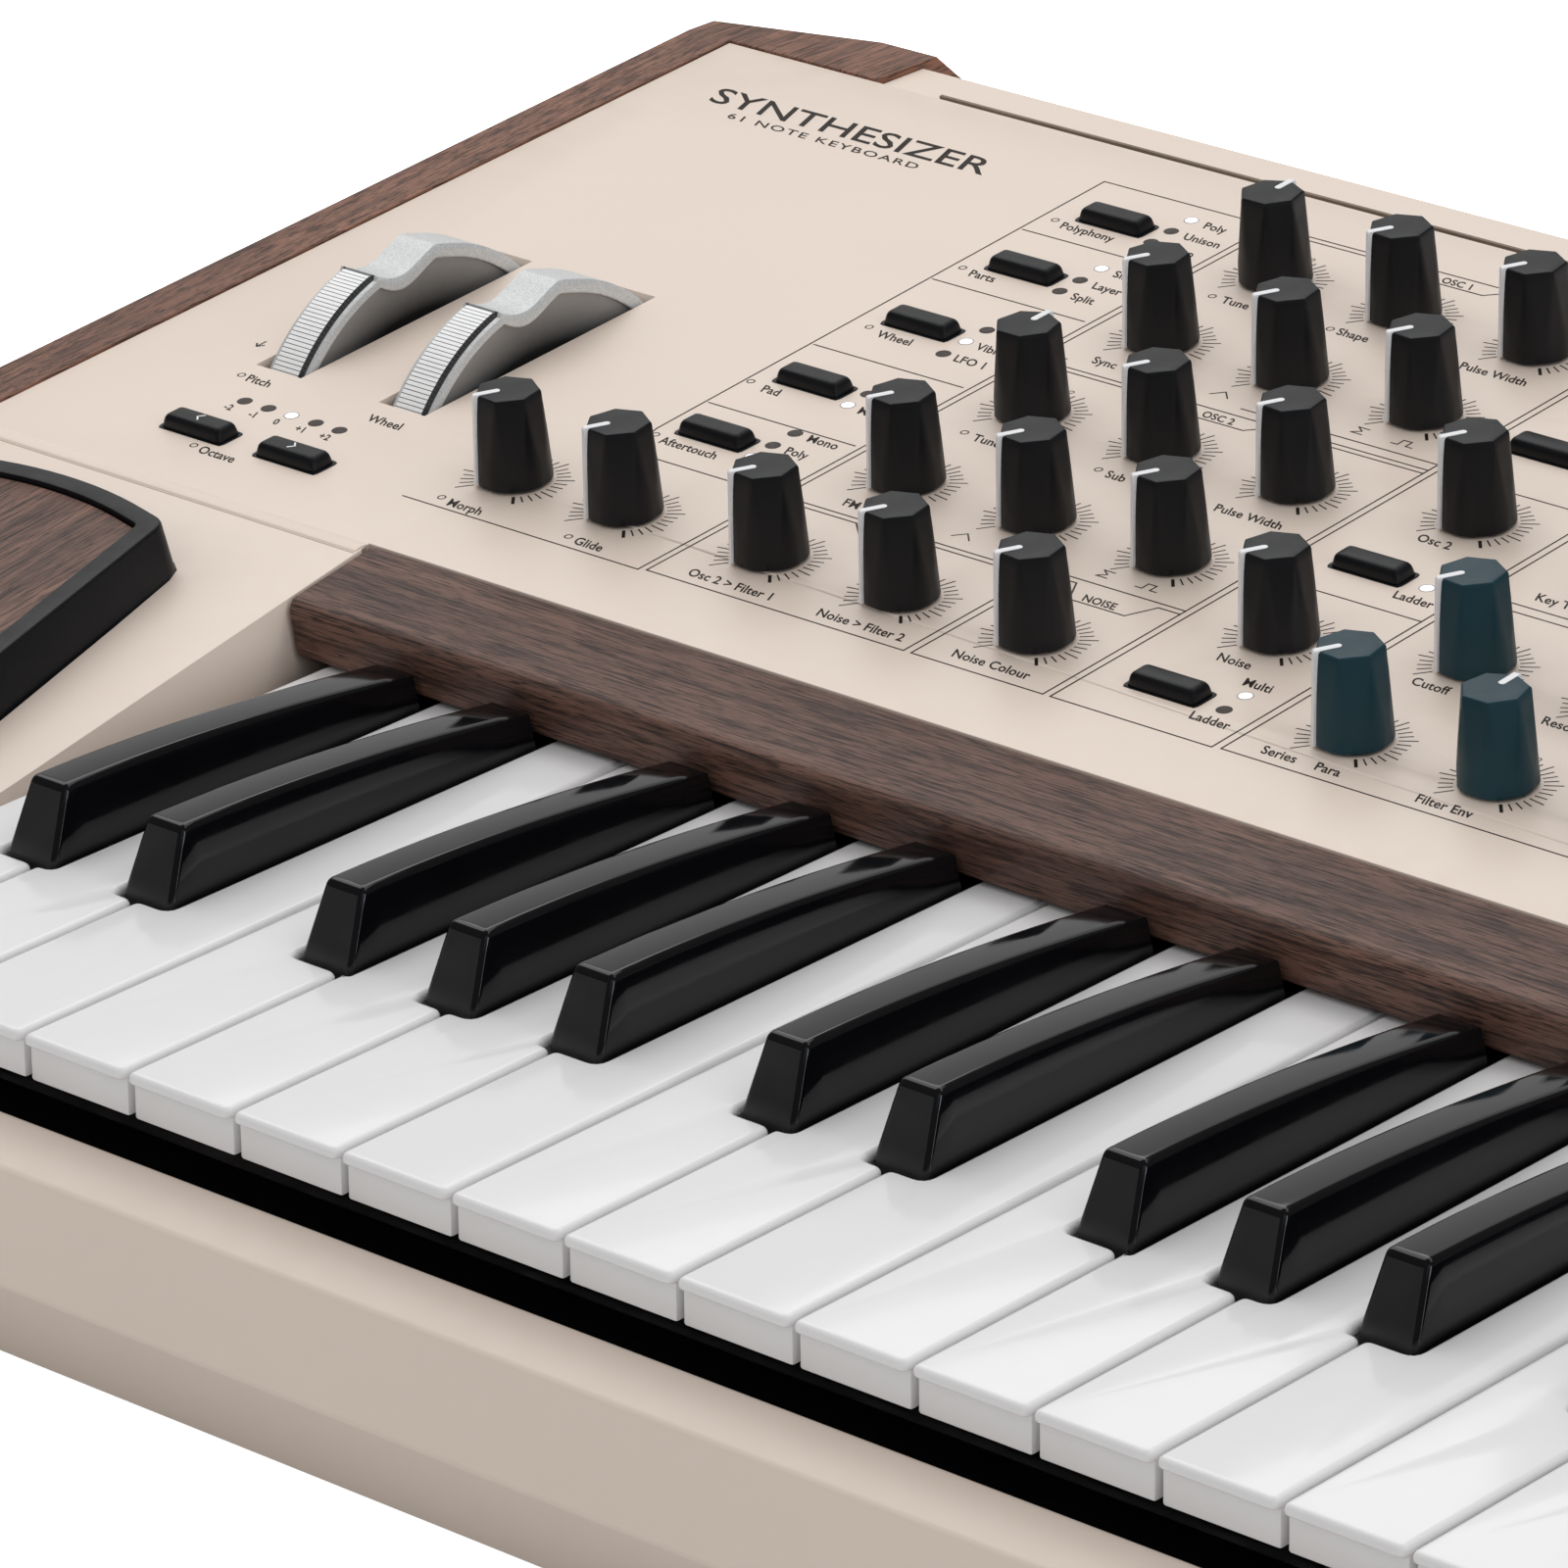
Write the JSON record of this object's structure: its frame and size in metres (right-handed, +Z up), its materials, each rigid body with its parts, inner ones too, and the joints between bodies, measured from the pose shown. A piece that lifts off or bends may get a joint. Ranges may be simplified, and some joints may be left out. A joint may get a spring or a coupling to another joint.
{
  "type": "keyboard synthesizer",
  "caption": "Keyboard synthesizer with a sloping metal control panel, knobs, buttons, faders, two thumb wheels, a touch pad and walnut ends and rail.",
  "frame": {"origin": "centre of the bounding box on the surface that the feet stand on", "axes": "+X along the keyboard to the treble side, +Y to the rear connectors, +Z up"},
  "size_m": [0.972, 0.435, 0.1086],
  "materials": {
    "cream_paint": "satin cream paint",
    "walnut": "oiled walnut",
    "white_gloss": "polished",
    "black_gloss": "polished",
    "black_satin": "satin",
    "teal_satin": "satin",
    "felt": "felt",
    "silver": "satin",
    "rubber": "matt",
    "silicone": "translucent grey rubber",
    "glass": "dark glass over a display",
    "steel": "plated sheet",
    "circuit_board": "solder mask",
    "black_plastic": "moulded"
  },
  "bodies": {
    "case": {"base_tray": "steel", "control_panel": "cream_paint", "front_fascia": "cream_paint", "left_cheek": "walnut", "right_cheek": "walnut", "ribbon_rail": "walnut", "rear_panel": "cream_paint", "keybed_frame": "steel", "key_felt": "felt", "display_window": "glass", "pad_surround": "black_satin", "wheel_cradle": "black_plastic", "foot_front_left": "rubber", "foot_front_right": "rubber", "foot_rear_left": "rubber", "foot_rear_right": "rubber", "main_board": "circuit_board", "power_supply": "steel", "key_sensor_board": "circuit_board", "power_inlet": "black_plastic", "rear_sockets": "black_plastic", "left_knob_board": "black_satin", "right_knob_board": "black_satin"},
    "key_c2": {"key_c2": "white_gloss"},
    "key_cs2": {"key_cs2": "black_gloss"},
    "key_d2": {"key_d2": "white_gloss"},
    "key_ds2": {"key_ds2": "black_gloss"},
    "key_e2": {"key_e2": "white_gloss"},
    "key_f2": {"key_f2": "white_gloss"},
    "key_fs2": {"key_fs2": "black_gloss"},
    "key_g2": {"key_g2": "white_gloss"},
    "key_gs2": {"key_gs2": "black_gloss"},
    "key_a2": {"key_a2": "white_gloss"},
    "key_as2": {"key_as2": "black_gloss"},
    "key_b2": {"key_b2": "white_gloss"},
    "keys_octave_1": {"keys_octave_1": "white_gloss"},
    "keys_octaves_3_to_5": {"keys_octaves_3_to_5": "white_gloss"},
    "pitch_wheel": {"pitch_wheel": "silver"},
    "mod_wheel": {"mod_wheel": "silver"},
    "pad_plate": {"pad_plate": "walnut"},
    "octave_down_button": {"octave_down_button": "black_satin"},
    "octave_up_button": {"octave_up_button": "black_satin"},
    "voices_button": {"voices_button": "black_satin"},
    "layers_button": {"layers_button": "black_satin"},
    "wheel_mode_button": {"wheel_mode_button": "black_satin"},
    "pad_mode_button": {"pad_mode_button": "black_satin"},
    "pressure_mode_button": {"pressure_mode_button": "black_satin"},
    "filter_1_button": {"filter_1_button": "black_satin"},
    "filter_2_button": {"filter_2_button": "black_satin"},
    "filter_3_button": {"filter_3_button": "black_satin"},
    "morph_knob": {"morph_knob": "black_satin"},
    "glide_knob": {"glide_knob": "black_satin"},
    "noise_colour_knob": {"noise_colour_knob": "black_satin"},
    "filter_link_knob": {"filter_link_knob": "teal_satin"},
    "cutoff_knob": {"cutoff_knob": "teal_satin"},
    "filter_envelope_knob": {"filter_envelope_knob": "teal_satin"},
    "data_encoder": {"data_encoder": "black_satin"},
    "envelope_faders": {"envelope_faders": "black_satin"},
    "matrix_keypad": {"matrix_keypad": "silicone"},
    "power_switch": {"power_switch": "black_plastic"}
  },
  "joints": [
    {"name": "key_c2_press", "type": "hinge", "parent": "case", "child": "key_c2", "pos_m": [-0.19025, -0.0025, 0.0578], "axis": [1, 0, 0], "range_deg": [0, 2.7], "stiffness_Nm_per_rad": 1, "springref_deg": -5.73},
    {"name": "key_cs2_press", "type": "hinge", "parent": "case", "child": "key_cs2", "pos_m": [-0.18151, -0.0025, 0.0578], "axis": [1, 0, 0], "range_deg": [0, 2.7], "stiffness_Nm_per_rad": 1, "springref_deg": -5.73},
    {"name": "key_d2_press", "type": "hinge", "parent": "case", "child": "key_d2", "pos_m": [-0.16695, -0.0025, 0.0578], "axis": [1, 0, 0], "range_deg": [0, 2.7], "stiffness_Nm_per_rad": 1, "springref_deg": -5.73},
    {"name": "key_ds2_press", "type": "hinge", "parent": "case", "child": "key_ds2", "pos_m": [-0.15433, -0.0025, 0.0578], "axis": [1, 0, 0], "range_deg": [0, 2.7], "stiffness_Nm_per_rad": 1, "springref_deg": -5.73},
    {"name": "key_e2_press", "type": "hinge", "parent": "case", "child": "key_e2", "pos_m": [-0.14365, -0.0025, 0.0578], "axis": [1, 0, 0], "range_deg": [0, 2.7], "stiffness_Nm_per_rad": 1, "springref_deg": -5.73},
    {"name": "key_f2_press", "type": "hinge", "parent": "case", "child": "key_f2", "pos_m": [-0.12035, -0.0025, 0.0578], "axis": [1, 0, 0], "range_deg": [0, 2.7], "stiffness_Nm_per_rad": 1, "springref_deg": -5.73},
    {"name": "key_fs2_press", "type": "hinge", "parent": "case", "child": "key_fs2", "pos_m": [-0.11355, -0.0025, 0.0578], "axis": [1, 0, 0], "range_deg": [0, 2.7], "stiffness_Nm_per_rad": 1, "springref_deg": -5.73},
    {"name": "key_g2_press", "type": "hinge", "parent": "case", "child": "key_g2", "pos_m": [-0.09705, -0.0025, 0.0578], "axis": [1, 0, 0], "range_deg": [0, 2.7], "stiffness_Nm_per_rad": 1, "springref_deg": -5.73},
    {"name": "key_gs2_press", "type": "hinge", "parent": "case", "child": "key_gs2", "pos_m": [-0.08637, -0.0025, 0.0578], "axis": [1, 0, 0], "range_deg": [0, 2.7], "stiffness_Nm_per_rad": 1, "springref_deg": -5.73},
    {"name": "key_a2_press", "type": "hinge", "parent": "case", "child": "key_a2", "pos_m": [-0.07375, -0.0025, 0.0578], "axis": [1, 0, 0], "range_deg": [0, 2.7], "stiffness_Nm_per_rad": 1, "springref_deg": -5.73},
    {"name": "key_as2_press", "type": "hinge", "parent": "case", "child": "key_as2", "pos_m": [-0.05919, -0.0025, 0.0578], "axis": [1, 0, 0], "range_deg": [0, 2.7], "stiffness_Nm_per_rad": 1, "springref_deg": -5.73},
    {"name": "key_b2_press", "type": "hinge", "parent": "case", "child": "key_b2", "pos_m": [-0.05045, -0.0025, 0.0578], "axis": [1, 0, 0], "range_deg": [0, 2.7], "stiffness_Nm_per_rad": 1, "springref_deg": -5.73},
    {"name": "keys_octave_1_press", "type": "hinge", "parent": "case", "child": "keys_octave_1", "pos_m": [-0.28345, -0.0025, 0.0578], "axis": [1, 0, 0], "range_deg": [0, 2.7], "stiffness_Nm_per_rad": 14, "springref_deg": -5.73},
    {"name": "keys_octaves_3_to_5_press", "type": "hinge", "parent": "case", "child": "keys_octaves_3_to_5", "pos_m": [0.20585, -0.0025, 0.0578], "axis": [1, 0, 0], "range_deg": [0, 2.7], "stiffness_Nm_per_rad": 42, "springref_deg": -5.73},
    {"name": "pitch_wheel_bend", "type": "hinge", "parent": "case", "child": "pitch_wheel", "pos_m": [-0.4408, 0.04332, 0.05493], "axis": [1, 0, 0], "range_deg": [-30, 30], "stiffness_Nm_per_rad": 0.2},
    {"name": "mod_wheel_turn", "type": "hinge", "parent": "case", "child": "mod_wheel", "pos_m": [-0.4098, 0.04332, 0.05493], "axis": [1, 0, 0], "range_deg": [-35, 35]},
    {"name": "pad_plate_press", "type": "slide", "parent": "case", "child": "pad_plate", "axis": [0, -0.1246, 0.9922], "range_m": [-0.001, 0], "stiffness_N_per_m": 800, "springref_m": 0.001},
    {"name": "octave_down_button_press", "type": "slide", "parent": "case", "child": "octave_down_button", "axis": [0, -0.0807, 0.9967], "range_m": [-0.001, 0], "stiffness_N_per_m": 200, "springref_m": 0.001},
    {"name": "octave_up_button_press", "type": "slide", "parent": "case", "child": "octave_up_button", "axis": [0, -0.0807, 0.9967], "range_m": [-0.001, 0], "stiffness_N_per_m": 200, "springref_m": 0.001},
    {"name": "voices_button_press", "type": "slide", "parent": "case", "child": "voices_button", "axis": [0, -0.0807, 0.9967], "range_m": [-0.001, 0], "stiffness_N_per_m": 200, "springref_m": 0.001},
    {"name": "layers_button_press", "type": "slide", "parent": "case", "child": "layers_button", "axis": [0, -0.0807, 0.9967], "range_m": [-0.001, 0], "stiffness_N_per_m": 200, "springref_m": 0.001},
    {"name": "wheel_mode_button_press", "type": "slide", "parent": "case", "child": "wheel_mode_button", "axis": [0, -0.0807, 0.9967], "range_m": [-0.001, 0], "stiffness_N_per_m": 200, "springref_m": 0.001},
    {"name": "pad_mode_button_press", "type": "slide", "parent": "case", "child": "pad_mode_button", "axis": [0, -0.0807, 0.9967], "range_m": [-0.001, 0], "stiffness_N_per_m": 200, "springref_m": 0.001},
    {"name": "pressure_mode_button_press", "type": "slide", "parent": "case", "child": "pressure_mode_button", "axis": [0, -0.0807, 0.9967], "range_m": [-0.001, 0], "stiffness_N_per_m": 200, "springref_m": 0.001},
    {"name": "filter_1_button_press", "type": "slide", "parent": "case", "child": "filter_1_button", "axis": [0, -0.0807, 0.9967], "range_m": [-0.001, 0], "stiffness_N_per_m": 200, "springref_m": 0.001},
    {"name": "filter_2_button_press", "type": "slide", "parent": "case", "child": "filter_2_button", "axis": [0, -0.0807, 0.9967], "range_m": [-0.001, 0], "stiffness_N_per_m": 200, "springref_m": 0.001},
    {"name": "filter_3_button_press", "type": "slide", "parent": "case", "child": "filter_3_button", "axis": [0, -0.0807, 0.9967], "range_m": [-0.001, 0], "stiffness_N_per_m": 200, "springref_m": 0.001},
    {"name": "morph_knob_turn", "type": "hinge", "parent": "case", "child": "morph_knob", "pos_m": [-0.3712, -0.0019, 0.07886], "axis": [0, -0.0807, 0.9967], "range_deg": [-280, 0]},
    {"name": "glide_knob_turn", "type": "hinge", "parent": "case", "child": "glide_knob", "pos_m": [-0.345, -0.0017, 0.07887], "axis": [0, -0.0807, 0.9967], "range_deg": [-280, 0]},
    {"name": "noise_colour_knob_turn", "type": "hinge", "parent": "case", "child": "noise_colour_knob", "pos_m": [-0.2508, -0.0015, 0.07889], "axis": [0, -0.0807, 0.9967], "range_deg": [-280, 0]},
    {"name": "filter_link_knob_turn", "type": "hinge", "parent": "case", "child": "filter_link_knob", "pos_m": [-0.1815, -0.0022, 0.07883], "axis": [0, -0.0807, 0.9967], "range_deg": [-280, 0]},
    {"name": "cutoff_knob_turn", "type": "hinge", "parent": "case", "child": "cutoff_knob", "pos_m": [-0.1815, 0.0312, 0.08154], "axis": [0, -0.0807, 0.9967], "range_deg": [-280, 0]},
    {"name": "filter_envelope_knob_turn", "type": "hinge", "parent": "case", "child": "filter_envelope_knob", "pos_m": [-0.1514, -0.0022, 0.07883], "axis": [0, -0.0807, 0.9967], "range_deg": [-140, 140]},
    {"name": "data_encoder_turn", "type": "hinge", "parent": "case", "child": "data_encoder", "pos_m": [0.35, 0.1405, 0.09039], "axis": [0, -0.0807, 0.9967], "continuous": true},
    {"name": "envelope_faders_slide", "type": "slide", "parent": "case", "child": "envelope_faders", "axis": [0, 0.9967, 0.0807], "range_m": [-0.015, 0.015]},
    {"name": "matrix_keypad_press", "type": "slide", "parent": "case", "child": "matrix_keypad", "axis": [0, -0.0807, 0.9967], "range_m": [-0.001, 0], "stiffness_N_per_m": 4000, "springref_m": 0.001},
    {"name": "power_switch_rock", "type": "hinge", "parent": "case", "child": "power_switch", "pos_m": [-0.371, 0.2095, 0.0428], "axis": [1, 0, 0], "range_deg": [0, 12]}
  ]
}
